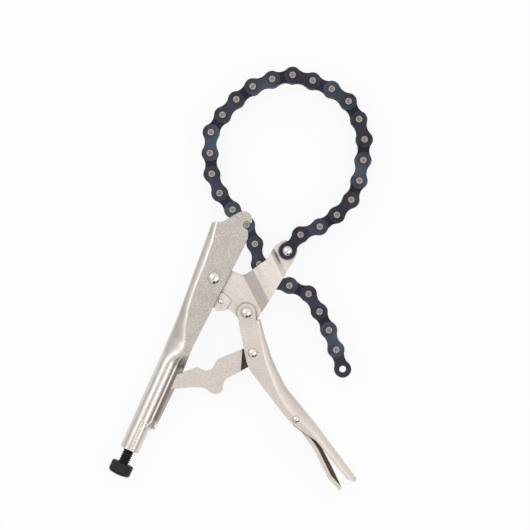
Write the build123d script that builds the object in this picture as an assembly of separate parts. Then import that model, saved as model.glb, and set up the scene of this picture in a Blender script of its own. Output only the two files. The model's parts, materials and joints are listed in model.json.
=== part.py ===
from build123d import *
from math import atan2, cos, degrees, hypot, pi, radians, sin
import os

# Chain locking pliers lying flat. X and Y are the plane in which everything swings, +Z points
# up at the viewer. Every outline is written in millimetres about the jaw pivot, and the whole
# tool is moved at the end so that its origin is the bottom centre of its box.

# Driving dimensions, in millimetres
PITCH = 15.875           # five eighths of an inch, the chain's standard pitch
LINK_COUNT = 30          # links after the anchor link
PIN_RADIUS = 2.54
PIN_HALF_LENGTH = 9.8    # the pins stand out of the plates, to be caught by the hook
LOBE_RADIUS = 6.5        # round ends of a chain plate
PLATE_THICKNESS = 2.0
INNER_GAP_HALF = 3.175   # half the gap between the inner plates
PLATE_CLEARANCE = 0.125
BUSH_RADIUS = 3.6
BORE_CLEARANCE = 0.1
END_HOLE_RADIUS = 2.64   # the open bush at the chain's free end

SHEET = 2.1              # steel sheet of both handles
CHANNEL_INNER_HALF = 7.45
CHANNEL_OUTER_HALF = CHANNEL_INNER_HALF + SHEET
FIXED_BACK_RADIUS = 6.0  # outer bend of the fixed handle's back
MOVING_BACK_RADIUS = 4.5

EAR_INNER_HALF = 6.35
EAR_OUTER_HALF = EAR_INNER_HALF + SHEET
EAR_RADIUS = 7.1

JAW_SHEET = 2.6
JAW_ROOT_HALF = 6.2      # outer faces of the two jaw plates inside the handle
JAW_TUNNEL_HALF = 12.75  # outer faces where the chain passes between the plates
JAW_TIP_HALF = 7.2

TUBE_RADIUS = 7.55       # rolled lower end of the fixed handle
TUBE_BORE = 5.6
NUT_LENGTH = 19.0
FLANGE_HALF = 6.3
SCREW_RADIUS = 4.2
SCREW_EXPOSED = 11.3
SCREW_TIP = 44.5         # stops short of the toggle link, where the linkage is opened
KNOB_RADIUS = 8.7
KNOB_LENGTH = 8.1
KNOB_DOME = 1.8
KNOB_END_RADIUS = 5.6
KNOB_BEVEL = 0.9

RUNNING = 0.06           # radial clearance of a rivet in its hole
SIDE_GAP = 0.05          # gap between faces that slide on each other

# Pivots, about the jaw pivot
JAW_PIVOT = (0.0, 0.0)
HANDLE_PIVOT = (24.9, -26.4)
TOGGLE_PIVOT = (29.6, -57.1)
LEVER_PIVOT = (62.7, -107.6)
CHAIN_ANCHOR = (56.2, 20.6)
SPRING_RIVET = (5.3, -17.8)
SPRING_ANCHOR = (-19.0, -46.0)
SCREW_MOUTH = (-64.7, -131.3)
SCREW_ANGLE = 65.7
TOGGLE_EYE_AT = 53.3     # the toggle link's end, measured along the screw from its mouth

# Which way each link of the chain points, in degrees, from the anchor link to the free end
HEADINGS = [
    51.3, 22.5, 34.8, 46.3, 67.1, 79.1, 86.4, 105.4, 120.4, 143.6, 156.3, 164.3, 191.4, 200.9,
    218.3, 228.1, 236.5, 267.2, 275.0, 292.2, 308.0, 312.8, 293.4, 282.1, 297.2, 352.5, 336.3,
    301.5, 297.2, 290.4, 288.9,
]
HOOKED_PIN = 22

# Chain plates are many, so their round ends and pins have few facets
LOBE_STEPS = 8
PIN_FACETS = 10
LOBE_OPEN_ANGLE = 45     # where a round end runs out into the waist

# A rivet's dome as (radius, height), in shares of the head's own radius and height
DOME_EDGE = 0.3
DOME_STEPS = [(1.0, DOME_EDGE), (0.78, 0.72), (0.4, 1.0)]

NEAR_BACK = 1.5          # how far a bend may stand off the corner that it rounds
BACK_MARGIN = 1.5        # how far an outline stands off the back of its channel
OVERRUN = 30.0           # how far a channel's back is carried past the sheet's ends
FAR = 200                # more than any part reaches


def chain_pins():
    """Where every pin of the chain stands, from the anchor rivet to the open end hole."""
    pins = [CHAIN_ANCHOR]
    for heading in HEADINGS:
        x, y = pins[-1]
        pins.append((x + PITCH * cos(radians(heading)), y + PITCH * sin(radians(heading))))
    return pins


PINS = chain_pins()


def outline(points, radii):
    """A closed flat outline whose corners are rounded, one radius or one for each corner."""
    return make_face(FilletPolyline(*points, radius=radii, close=True))


def slab(face, low, high):
    """A flat outline given thickness between two heights."""
    return Pos(0, 0, low) * extrude(face, high - low)


def pin(at, radius, low, high):
    return Pos(at[0], at[1], (low + high) / 2) * Cylinder(radius, high - low)


def ring(at, outer, inner, low, high):
    return pin(at, outer, low, high) - pin(at, inner, low - 1, high + 1)


def pair(piece):
    """A piece above the middle plane and its mirror image below it."""
    return [piece, mirror(piece, about=Plane.XY)]


def parallel(points, distance):
    """An open run of straight lines moved sideways by a distance, to its left."""
    moved = []
    for i, (x, y) in enumerate(points):
        normals = []
        for a, b in ((i - 1, i), (i, i + 1)):
            if a >= 0 and b < len(points):
                dx, dy = points[b][0] - points[a][0], points[b][1] - points[a][1]
                length = hypot(dx, dy)
                normals.append((-dy / length, dx / length))
        nx = sum(n[0] for n in normals)
        ny = sum(n[1] for n in normals)
        scale = distance * len(normals) / (nx * nx + ny * ny)
        moved.append((x + nx * scale, y + ny * scale))
    return moved


def rounded_block(back, bends, side, half, radius):
    """A wide block whose edge follows a channel's back, with that edge's two corners rounded.

    The run of points is carried on at both ends, and side says which way the block lies."""
    first, second, before, last = back[0], back[1], back[-2], back[-1]
    start = stretched(second, first)
    end = stretched(before, last)
    far = [(end[0] + side * FAR, end[1]), (start[0] + side * FAR, start[1])]
    points = [start] + back[1:-1] + [end] + far
    block = extrude(outline(points, [0] + bends + [0, 0, 0]), half, both=True)
    run = Polyline(start, *back[1:-1], end)
    chosen = []
    for edge in block.edges():
        middle = edge.position_at(0.5)
        if run.distance_to(Vertex(Vector(middle.X, middle.Y, 0))) < NEAR_BACK:
            if abs(abs(middle.Z) - half) < 1e-3:
                chosen.append(edge)
    return fillet(chosen, radius)


def stretched(inside, tip):
    """The end of a line carried on well past its last point."""
    dx, dy = tip[0] - inside[0], tip[1] - inside[1]
    scale = 1 + OVERRUN / hypot(dx, dy)
    return (inside[0] + dx * scale, inside[1] + dy * scale)


def rivet(at, shank, head, head_height, half_span):
    """A rivet with a domed head on each side, each dome built up from flat-sided steps."""
    dome = pin((0, 0), head, half_span, half_span + DOME_EDGE * head_height)
    for (wide, low), (narrow, high) in zip(DOME_STEPS, DOME_STEPS[1:]):
        step = Cone(wide * head, narrow * head, (high - low) * head_height)
        dome += Pos(0, 0, half_span + (low + high) / 2 * head_height) * step
    whole = pin((0, 0), shank, -half_span, half_span) + dome + mirror(dome, about=Plane.XY)
    return Pos(at[0], at[1], 0) * whole


def along_screw(start, end, radius):
    """A round bar on the screw's axis, between two distances from its mouth."""
    direction = (cos(radians(SCREW_ANGLE)), sin(radians(SCREW_ANGLE)), 0)
    middle = (start + end) / 2
    centre = (SCREW_MOUTH[0] + direction[0] * middle, SCREW_MOUTH[1] + direction[1] * middle, 0)
    return Plane(origin=centre, z_dir=direction) * Cylinder(radius, end - start)


def screw_point(along, across=0.0):
    """The place at a distance along the screw's axis and to the right of it."""
    c, s = cos(radians(SCREW_ANGLE)), sin(radians(SCREW_ANGLE))
    return (SCREW_MOUTH[0] + c * along + s * across, SCREW_MOUTH[1] + s * along - c * across)


def side_profile(points, angle):
    """A closed outline of (distance, height) pairs, extruded square to a direction in XY."""
    across = (-sin(radians(angle)), cos(radians(angle)), 0)
    along = (cos(radians(angle)), sin(radians(angle)), 0)
    plane = Plane(origin=(0, 0, 0), x_dir=along, z_dir=(across[0] * -1, across[1] * -1, 0))
    face = make_face(Polyline(*points, close=True))
    return extrude(plane * face, FAR, both=True)


# Fixed handle

COLLAR_END = 24.0        # how far the round collar goes up from the screw's mouth
BACK_BEND = 60
FIXED_BACK = [(-1.7, 41.9), (-25.6, -24.0), screw_point(COLLAR_END, -7.4)]
FIXED_FRONT = [
    (26.3, 30.5),
    (3.0, -15.0),
    (-16.5, -53.5),
    (-24.8, -74.0),
    screw_point(COLLAR_END, 11.5),
]
FIXED_HEAD = [(7.0, 43.0), (22.4, 51.6), (29.4, 49.2), (29.3, 43.0), (26.2, 36.6)]
FIXED_RADII = [0, BACK_BEND, 1.2, 8, 6, 3, 0.8, 1.5, 8, 60, 60, 60, 0]

# Along the screw's axis, where the channel is pinched from its full width to its flanges
TAPER_START = 84.0
TAPER_END = 70.0
FLANGE_TOP = 86.0
FLANGE_FOOT = [
    screw_point(COLLAR_END, -2.0),
    screw_point(18.5, -2.0),
    screw_point(18.5, 8.0),
    screw_point(21.5, 11.2),
]
FLANGE_RADII = [0, 0, 0, 3, 0, 30, 0, 0, 0]

HOOK_ANGLE = -40
HOOK_RADIUS = PIN_RADIUS + 0.2
HOOK_MOUTH = 16.0


def fixed_outline():
    """The handle seen from above. It stands off the back, which the rounded block shapes."""
    points = parallel(FIXED_BACK, -BACK_MARGIN)[::-1] + FIXED_HEAD + FIXED_FRONT
    return outline(points, FIXED_RADII)


def fixed_widths(half, end_half):
    """How wide the channel is along its length: full in the grip, pinched towards the tube."""
    offset = SCREW_MOUTH[0] * cos(radians(SCREW_ANGLE)) + SCREW_MOUTH[1] * sin(radians(SCREW_ANGLE))
    profile = [
        (offset + TAPER_END, -end_half),
        (offset + TAPER_START, -half),
        (offset + 2 * FAR, -half),
        (offset + 2 * FAR, half),
        (offset + TAPER_START, half),
        (offset + TAPER_END, end_half),
    ]
    return side_profile(profile, SCREW_ANGLE)


def fixed_handle():
    """U-shaped channel, open at the front, with a hook at its head and a rolled tube below."""
    outer = rounded_block(FIXED_BACK, [BACK_BEND], 1, CHANNEL_OUTER_HALF, FIXED_BACK_RADIUS)
    outer &= extrude(fixed_outline(), CHANNEL_OUTER_HALF, both=True)
    outer &= fixed_widths(CHANNEL_OUTER_HALF, FLANGE_HALF)

    back = parallel(FIXED_BACK, SHEET)
    inner_radius = FIXED_BACK_RADIUS - SHEET
    inner = rounded_block(back, [BACK_BEND - SHEET], 1, CHANNEL_INNER_HALF, inner_radius)
    inner &= fixed_widths(CHANNEL_INNER_HALF, FLANGE_HALF - SHEET)

    flange_top = [screw_point(FLANGE_TOP, 4.0), screw_point(FLANGE_TOP, -2.0)]
    flange_points = FLANGE_FOOT + FIXED_FRONT[:1:-1] + flange_top
    flange = extrude(outline(flange_points, FLANGE_RADII), FLANGE_HALF, both=True)
    slot_points = [screw_point(NUT_LENGTH + 2, -2.0), screw_point(NUT_LENGTH + 2, FAR)]
    slot_points += [screw_point(TAPER_START, FAR), screw_point(TAPER_START, -2.0)]
    slot = extrude(outline(slot_points, 0.5), FLANGE_HALF - SHEET, both=True)

    tube = along_screw(0, TAPER_START + 2, TUBE_RADIUS)
    bore = along_screw(NUT_LENGTH, TAPER_START + 1, TUBE_BORE)
    nut_bore = along_screw(-1, NUT_LENGTH + 1, SCREW_RADIUS + RUNNING)

    handle = outer + flange + tube
    handle -= inner
    handle -= slot
    handle -= bore
    handle -= nut_bore

    hook = PINS[HOOKED_PIN]
    mouth = Pos(HOOK_MOUTH / 2, 0, 0) * Box(HOOK_MOUTH, 2 * HOOK_RADIUS, FAR)
    handle -= Pos(hook[0], hook[1], 0) * Rot(0, 0, HOOK_ANGLE) * (mouth + Cylinder(HOOK_RADIUS, FAR))
    handle -= pin(JAW_PIVOT, JAW_RIVET + RUNNING, -FAR, FAR)
    handle -= pin(SPRING_ANCHOR, SPRING_PIN + RUNNING, -FAR, FAR)
    return handle


def adjusting_screw():
    """Threaded bar with its knob. The thread itself is a surface detail left off here."""
    bar = along_screw(-SCREW_EXPOSED - 1, SCREW_TIP, SCREW_RADIUS)
    knob = along_screw(-SCREW_EXPOSED - KNOB_LENGTH, -SCREW_EXPOSED, KNOB_RADIUS)
    knob = chamfer(knob.faces().sort_by(Axis.Y)[0].edges(), KNOB_BEVEL)
    knob = chamfer(knob.faces().sort_by(Axis.Y)[-1].edges(), KNOB_BEVEL)
    end = along_screw(-SCREW_EXPOSED - KNOB_LENGTH - KNOB_DOME, -SCREW_EXPOSED, KNOB_END_RADIUS)
    end = chamfer(end.faces().sort_by(Axis.Y)[0].edges(), KNOB_BEVEL)
    return bar + knob + end


# Jaw

JAW_RIVET = 3.2
JAW_RIVET_HEAD = 4.5
HANDLE_RIVET = 2.9
HANDLE_RIVET_HEAD = 4.05
TOGGLE_RIVET = 2.7
TOGGLE_RIVET_HEAD = 3.55
LEVER_RIVET = 2.1
LEVER_RIVET_HEAD = 2.8
ANCHOR_RIVET = 2.7
ANCHOR_RIVET_HEAD = 3.6
SPRING_PIN = 1.5
SPRING_RIVET_HEAD = 1.95

CREASE_FOOT = (21.9, 2.3)       # a point of the first crease
CREASE_ACROSS = 27.1            # the way square to the creases
JAW_PROFILE = [
    (-60.0, JAW_ROOT_HALF),
    (0.0, JAW_ROOT_HALF),
    (9.1, JAW_TUNNEL_HALF),
    (18.5, JAW_TUNNEL_HALF),
    (26.5, JAW_TUNNEL_HALF - 1.2),
    (29.7, JAW_TIP_HALF),
    (60.0, JAW_TIP_HALF),
]


JAW_POINTS = [
    (-8.2, 8.2), (14.0, 5.6), (22.8, 1.6), (41.0, 14.6), (46.6, 24.6), (54.4, 30.0),
    (65.0, 22.6), (61.4, 13.9), (40.3, -20.7), (31.6, -33.6), (19.6, -32.6), (16.6, -27.8),
    (11.2, -24.0), (2.4, -23.8), (-1.0, -18.2), (-3.0, -11.0), (-8.2, -8.2),
]
JAW_RADII = [7, 10, 7, 8, 5, 6, 6, 8, 30, 5, 5, 3, 4, 3, 2, 4, 6]

# Outer radii of the sleeves and washers on the jaw's pivots
ROOT_SLEEVE = 5.6
EAR_SLEEVE = 5.0
TIP_SLEEVE = 4.8
WASHER_RADIUS = 6.2


def jaw_plate():
    """Upper jaw plate: flat root, a raised tunnel for the chain's free end, and a lower tip."""
    inner = parallel(JAW_PROFILE, -JAW_SHEET)
    foot = CREASE_FOOT[0] * cos(radians(CREASE_ACROSS)) + CREASE_FOOT[1] * sin(radians(CREASE_ACROSS))
    section = [(foot + s, z) for s, z in JAW_PROFILE + inner[::-1]]
    sheet = side_profile(section, CREASE_ACROSS)
    plate = sheet & slab(outline(JAW_POINTS, JAW_RADII), 0, FAR)
    holes = (
        (JAW_PIVOT, JAW_RIVET),
        (HANDLE_PIVOT, HANDLE_RIVET),
        (CHAIN_ANCHOR, ANCHOR_RIVET),
        (SPRING_RIVET, SPRING_PIN),
    )
    for at, radius in holes:
        plate -= pin(at, radius + RUNNING, 0, FAR)
    return plate


def jaw_spacers():
    """Three sleeves that hold the jaw plates apart, on the two pivots and the chain's anchor."""
    root = JAW_ROOT_HALF - JAW_SHEET
    tip = JAW_TIP_HALF - JAW_SHEET
    return [
        ring(JAW_PIVOT, ROOT_SLEEVE, JAW_RIVET + RUNNING, -root, root),
        ring(HANDLE_PIVOT, EAR_SLEEVE, HANDLE_RIVET + RUNNING, -root, root),
        ring(CHAIN_ANCHOR, TIP_SLEEVE, ANCHOR_RIVET + RUNNING, -tip, tip),
    ]


def pivot_washers():
    """Washers that fill the space between the jaw plates and the fixed handle's walls."""
    low = JAW_ROOT_HALF + SIDE_GAP
    return pair(ring(JAW_PIVOT, WASHER_RADIUS, JAW_RIVET + RUNNING, low, CHANNEL_INNER_HALF))


BRACKET_SHEET = 1.1
BRACKET_LOW = JAW_ROOT_HALF + 0.02
BRACKET_HIGH = BRACKET_LOW + BRACKET_SHEET
BRACKET_POINTS = [
    (7.3, -11.2), (13.7, -16.8), (8.8, -25.0), (2.0, -25.4), (-2.6, -18.8), (-4.4, -11.6),
]
BRACKET_RADII = [1, 1.5, 1, 2, 1, 1]
FOLD_RADIUS = 0.2


def spring_bracket():
    """Thin clip over both jaw plates that carries the spring's hook."""
    cheek = slab(outline(BRACKET_POINTS, BRACKET_RADII), BRACKET_LOW, BRACKET_HIGH)
    cheek -= pin(SPRING_RIVET, SPRING_PIN + RUNNING, 0, FAR)
    fold = BRACKET_POINTS[-2:]
    web_outline = outline(fold + parallel(fold, -BRACKET_SHEET)[::-1], FOLD_RADIUS)
    web = slab(web_outline, -BRACKET_HIGH, BRACKET_HIGH)
    upper, lower = pair(cheek)
    return upper + lower + web


# Moving handle

MOVING_BACK = [
    (35.6, -31.9),
    (38.9, -44.5),
    (45.0, -63.0),
    (55.0, -83.5),
    (79.0, -112.6),
    (108.6, -152.6),
]
MOVING_FRONT = [
    (106.9, -155.9),
    (101.6, -153.2),
    (78.0, -124.0),
    (58.5, -110.8),
    (25.8, -68.0),
    (20.3, -41.0),
]
EAR_NECK = [(18.0, -27.0), (31.8, -27.0), (32.3, -31.9)]
MOVING_BENDS = [20, 40, 40, 60]
MOVING_RADII = [0.8] + MOVING_BENDS + [1.5, 1.2, 6, 20, 60, 25, 40, 0, 0, 0]
SHOULDER = -32.0         # the back wall starts below this, and only the ears go on
EAR_BLEND_LOW = -41.5
EAR_BLEND_HIGH = -36.0


def moving_outline():
    body = outline(MOVING_BACK + MOVING_FRONT + EAR_NECK, MOVING_RADII)
    ear = Pos(HANDLE_PIVOT[0], HANDLE_PIVOT[1]) * Circle(EAR_RADIUS)
    return body + ear


def moving_widths(half, ear_half):
    """Full width along the grip, narrower at the ears that hug the jaw."""
    profile = [
        (-FAR, -half), (EAR_BLEND_LOW, -half), (EAR_BLEND_HIGH, -ear_half), (FAR, -ear_half),
        (FAR, ear_half), (EAR_BLEND_HIGH, ear_half), (EAR_BLEND_LOW, half), (-FAR, half),
    ]
    return side_profile(profile, 90)


def movable_handle():
    """Channel open towards the fixed handle, with two ears at its pivot."""
    outer = rounded_block(MOVING_BACK, MOVING_BENDS, -1, CHANNEL_OUTER_HALF, MOVING_BACK_RADIUS)
    outer &= extrude(moving_outline(), CHANNEL_OUTER_HALF, both=True)
    outer &= moving_widths(CHANNEL_OUTER_HALF, EAR_OUTER_HALF)

    back = parallel(MOVING_BACK, -SHEET)
    inner_radius = MOVING_BACK_RADIUS - SHEET
    inner = rounded_block(back, MOVING_BENDS, -1, CHANNEL_INNER_HALF, inner_radius)
    inner += slab(Pos(FAR / 2, FAR / 2 + SHOULDER) * Rectangle(FAR, FAR), -FAR, FAR)
    inner &= moving_widths(CHANNEL_INNER_HALF, EAR_INNER_HALF)
    handle = outer - inner
    holes = (
        (HANDLE_PIVOT, HANDLE_RIVET),
        (TOGGLE_PIVOT, TOGGLE_RIVET),
        (LEVER_PIVOT, LEVER_RIVET),
    )
    for at, radius in holes:
        handle -= pin(at, radius + RUNNING, -FAR, FAR)
    return handle


# Toggle link

TOGGLE_HALF = 3.6
TONGUE_HALF = 2.5
TOGGLE_EYE_RADIUS = 3.2
TOGGLE_EYE = screw_point(TOGGLE_EYE_AT)
TOGGLE_POINTS = [
    (TOGGLE_EYE[0] - 0.6, TOGGLE_EYE[1] + 3.1), (-13.0, -68.2), (-6.4, -71.2), (-1.2, -69.6),
    (2.6, -62.3), (22.2, -54.2), (29.6, -50.6), (36.0, -56.0), (32.4, -63.6), (26.2, -68.1),
    (10.0, -76.8), (7.4, -80.0), (6.4, -88.6), (-1.0, -88.6), (-7.6, -83.6), (-16.0, -83.4),
    (TOGGLE_EYE[0] + 1.5, TOGGLE_EYE[1] - 2.9),
]
TOGGLE_RADII = [1, 2.5, 5, 4, 6, 4, 5, 5, 4, 3, 4, 4, 5, 5, 8, 20, 1]
TONGUE_STEP = [(22.4, -48.0), (45.0, -48.0), (45.0, -75.0), (20.2, -75.0)]
TOGGLE_SLEEVE = 5.0


def toggle_link():
    """Bar between the moving handle and the screw, with a thinner tongue at the handle."""
    body = outline(TOGGLE_POINTS, TOGGLE_RADII) + Pos(*TOGGLE_EYE) * Circle(TOGGLE_EYE_RADIUS)
    bar = extrude(body, TOGGLE_HALF, both=True)
    step = make_face(Polyline(*TONGUE_STEP, close=True))
    for cheek in pair(slab(step, TONGUE_HALF, FAR)):
        bar -= cheek
    return bar - pin(TOGGLE_PIVOT, TOGGLE_RIVET + RUNNING, -FAR, FAR)


def toggle_spacers():
    """Sleeves that centre the tongue between the handle's walls."""
    low = TONGUE_HALF + SIDE_GAP
    return pair(ring(TOGGLE_PIVOT, TOGGLE_SLEEVE, TOGGLE_RIVET + RUNNING, low, CHANNEL_INNER_HALF))


# Release lever

LEVER_RIM_HALF = 7.1
LEVER_BODY_HALF = 4.6
LEVER_SHEET = 1.6
LEVER_WEB_SHIFT = (1.4, 0.8)    # from the web's outer face to its inner one
LEVER_RIM_SHIFT = (2.6, 1.5)    # how far the turned-out rim reaches


LEVER_POINTS = [
    (58.0, -104.0), (60.4, -112.4), (67.0, -117.4), (76.8, -131.5), (86.9, -152.2),
    (96.0, -162.3), (97.8, -160.6), (90.7, -145.4), (81.9, -128.7), (71.6, -112.6),
    (66.6, -104.0),
]
LEVER_RADII = [3, 3, 6, 20, 12, 0.6, 0.6, 20, 20, 6, 3]


def release_lever():
    """Bent channel on its own rivet inside the moving handle, with a tail for the fingers."""
    walls = outline(LEVER_POINTS, LEVER_RADII)
    body = extrude(walls, LEVER_BODY_HALF, both=True)
    rim = extrude(walls - Pos(*LEVER_RIM_SHIFT) * walls, LEVER_RIM_HALF, both=True)
    hollow = extrude(Pos(*LEVER_WEB_SHIFT) * walls, LEVER_BODY_HALF - LEVER_SHEET, both=True)
    lever = body + rim - hollow
    return lever - pin(LEVER_PIVOT, LEVER_RIVET + RUNNING, -FAR, FAR)


# Spring

SPRING_OUTER = 3.2
SPRING_WIRE = 1.1
SPRING_COIL_FROM = 5.0      # where the coil starts, from the rivet or the pin
SPRING_STEM = 4.0
SPRING_EYE_CLEARANCE = 0.15


def tension_spring():
    """The coil that opens the tool: a close-wound tube with a loop at each end."""
    dx, dy = SPRING_ANCHOR[0] - SPRING_RIVET[0], SPRING_ANCHOR[1] - SPRING_RIVET[1]
    length = hypot(dx, dy)
    plane = Plane(origin=(SPRING_RIVET[0], SPRING_RIVET[1], 0), z_dir=(dx / length, dy / length, 0))
    start, end = SPRING_COIL_FROM, length - SPRING_COIL_FROM
    coil = Cylinder(SPRING_OUTER, end - start) - Cylinder(SPRING_OUTER - SPRING_WIRE, end - start)
    coil = plane * Pos(0, 0, (start + end) / 2) * coil
    angle = degrees(atan2(dy, dx))
    stem_width = 2 * SPRING_OUTER - SPRING_WIRE
    for at, turn in ((SPRING_RIVET, angle), (SPRING_ANCHOR, angle + 180)):
        stem = Box(SPRING_STEM, stem_width, SPRING_WIRE)
        offset = SPRING_PIN + SPRING_WIRE / 2 + SPRING_STEM / 2
        coil += Pos(at[0], at[1], 0) * Rot(0, 0, turn) * Pos(offset, 0, 0) * stem
        eye = SPRING_PIN + SPRING_EYE_CLEARANCE
        coil += ring(at, eye + SPRING_WIRE, eye, -SPRING_WIRE / 2, SPRING_WIRE / 2)
        coil -= pin(at, eye, -SPRING_WIRE, SPRING_WIRE)
    return coil


# Chain

INNER_LOW = INNER_GAP_HALF
INNER_HIGH = INNER_LOW + PLATE_THICKNESS
OUTER_LOW = INNER_HIGH + PLATE_CLEARANCE
OUTER_HIGH = OUTER_LOW + PLATE_THICKNESS
ANCHOR_LOW = OUTER_HIGH + PLATE_CLEARANCE + SIDE_GAP
ANCHOR_HIGH = ANCHOR_LOW + PLATE_THICKNESS


def polygon_bar(x, radius, low, high):
    """A facetted pin or bore that stands on the chain's line."""
    face = RegularPolygon(radius, PIN_FACETS)
    return Pos(x, 0, low) * extrude(face, high - low)


def chain_plate(low, high):
    """Two round ends joined by a waist, lying along X."""
    step = (360 - 2 * LOBE_OPEN_ANGLE) / LOBE_STEPS
    points = []
    for x, turn in ((0.0, 0.0), (PITCH, 180.0)):
        for i in range(LOBE_STEPS + 1):
            angle = radians(turn + LOBE_OPEN_ANGLE + i * step)
            points.append((x + LOBE_RADIUS * cos(angle), LOBE_RADIUS * sin(angle)))
    return slab(make_face(Polyline(*points, close=True)), low, high)


def laid(piece, index):
    """Moves a link from the X axis to its own place in the chain."""
    x, y = PINS[index]
    return Pos(x, y, 0) * Rot(0, 0, HEADINGS[index]) * piece


def outer_link():
    """Two plates with two pins pressed through them."""
    link = chain_plate(OUTER_LOW, OUTER_HIGH) + chain_plate(-OUTER_HIGH, -OUTER_LOW)
    for x in (0.0, PITCH):
        link += polygon_bar(x, PIN_RADIUS, -PIN_HALF_LENGTH, PIN_HALF_LENGTH)
    return link


def inner_link(end_hole=False):
    """Two plates joined by two bushes, in which the pins turn."""
    bore = (PIN_RADIUS + BORE_CLEARANCE) / cos(pi / PIN_FACETS)
    link = chain_plate(INNER_LOW, INNER_HIGH) + chain_plate(-INNER_HIGH, -INNER_LOW)
    for x in (0.0, PITCH):
        link += polygon_bar(x, BUSH_RADIUS, -INNER_LOW, INNER_LOW)
    link -= polygon_bar(0.0, bore, -INNER_HIGH - 1, INNER_HIGH + 1)
    if end_hole:
        link -= pin((PITCH, 0.0), END_HOLE_RADIUS, -INNER_HIGH - 1, INNER_HIGH + 1)
    else:
        link -= polygon_bar(PITCH, bore, -INNER_HIGH - 1, INNER_HIGH + 1)
    return link


def anchor_link():
    """The two wide plates that tie the chain to the jaw's tip."""
    bore = (PIN_RADIUS + BORE_CLEARANCE) / cos(pi / PIN_FACETS)
    plate = chain_plate(ANCHOR_LOW, ANCHOR_HIGH)
    plate -= pin((0.0, 0.0), ANCHOR_RIVET + RUNNING, 0, FAR)
    plate -= polygon_bar(PITCH, bore, 0, FAR)
    return pair(plate)


def anchor_bush():
    """Sleeve on the chain's first pin, where no inner link stands between the plates."""
    bore = (PIN_RADIUS + SIDE_GAP) / cos(pi / PIN_FACETS)
    bush = polygon_bar(0.0, BUSH_RADIUS, -OUTER_LOW, OUTER_LOW)
    return bush - polygon_bar(0.0, bore, -FAR, FAR)


# Each rivet's place, shank radius, head radius, head height and half the stack that it holds
RIVETS = {
    "jaw_pivot_rivet": (JAW_PIVOT, JAW_RIVET, JAW_RIVET_HEAD, 2.0, CHANNEL_OUTER_HALF),
    "handle_pivot_rivet": (HANDLE_PIVOT, HANDLE_RIVET, HANDLE_RIVET_HEAD, 1.9, EAR_OUTER_HALF),
    "spring_rivet": (SPRING_RIVET, SPRING_PIN, SPRING_RIVET_HEAD, 0.9, BRACKET_HIGH),
    "spring_anchor_pin": (SPRING_ANCHOR, SPRING_PIN, SPRING_RIVET_HEAD, 0.7, CHANNEL_OUTER_HALF),
    "toggle_rivet": (TOGGLE_PIVOT, TOGGLE_RIVET, TOGGLE_RIVET_HEAD, 1.7, CHANNEL_OUTER_HALF),
    "release_lever_rivet": (LEVER_PIVOT, LEVER_RIVET, LEVER_RIVET_HEAD, 1.4, CHANNEL_OUTER_HALF),
    "chain_anchor_rivet": (CHAIN_ANCHOR, ANCHOR_RIVET, ANCHOR_RIVET_HEAD, 1.8, ANCHOR_HIGH),
}


def build():
    nodes = {
        "fixed_handle": [fixed_handle()],
        "adjusting_screw": [adjusting_screw()],
        "jaw_spacers": jaw_spacers(),
        "pivot_washers": pivot_washers(),
        "spring_bracket": [spring_bracket()],
        "tension_spring": [tension_spring()],
        "movable_handle": [movable_handle()],
        "toggle_link": [toggle_link()],
        "toggle_spacers": toggle_spacers(),
        "release_lever": [release_lever()],
    }
    for name, sizes in RIVETS.items():
        nodes[name] = [rivet(*sizes)]
    upper, lower = pair(jaw_plate())
    nodes["jaw_plate_front"] = [upper]
    nodes["jaw_plate_back"] = [lower]
    nodes["chain_anchor_link"] = [laid(plate, 0) for plate in anchor_link()]
    nodes["chain_anchor_bush"] = [laid(anchor_bush(), 1)]
    outer, inner = outer_link(), inner_link()
    for index in range(1, LINK_COUNT + 1):
        link = outer if index % 2 else inner
        if index == LINK_COUNT:
            link = inner_link(end_hole=True)
        nodes[f"chain_link_{index:02d}"] = [laid(link, index)]
    return nodes


def solids_of(pieces):
    found = []
    for piece in pieces:
        found += piece.solids()
    return found


def main():
    os.makedirs("parts", exist_ok=True)
    nodes = {name: Compound(children=solids_of(pieces)) for name, pieces in build().items()}
    boxes = [shape.bounding_box() for shape in nodes.values()]
    low = [min(getattr(box.min, axis) for box in boxes) for axis in "XYZ"]
    high = [max(getattr(box.max, axis) for box in boxes) for axis in "XYZ"]
    middle = ((low[0] + high[0]) / 2, (low[1] + high[1]) / 2, low[2])
    print("moved by", [round(-value, 4) for value in middle])
    for name, shape in nodes.items():
        export_step(Pos(-middle[0], -middle[1], -middle[2]) * shape, f"parts/{name}.step")


main()
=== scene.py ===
import json
from math import acos, atan2, cos, pi, radians, sin, tan

import bmesh
import bpy
from mathutils import Matrix, Vector

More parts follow.
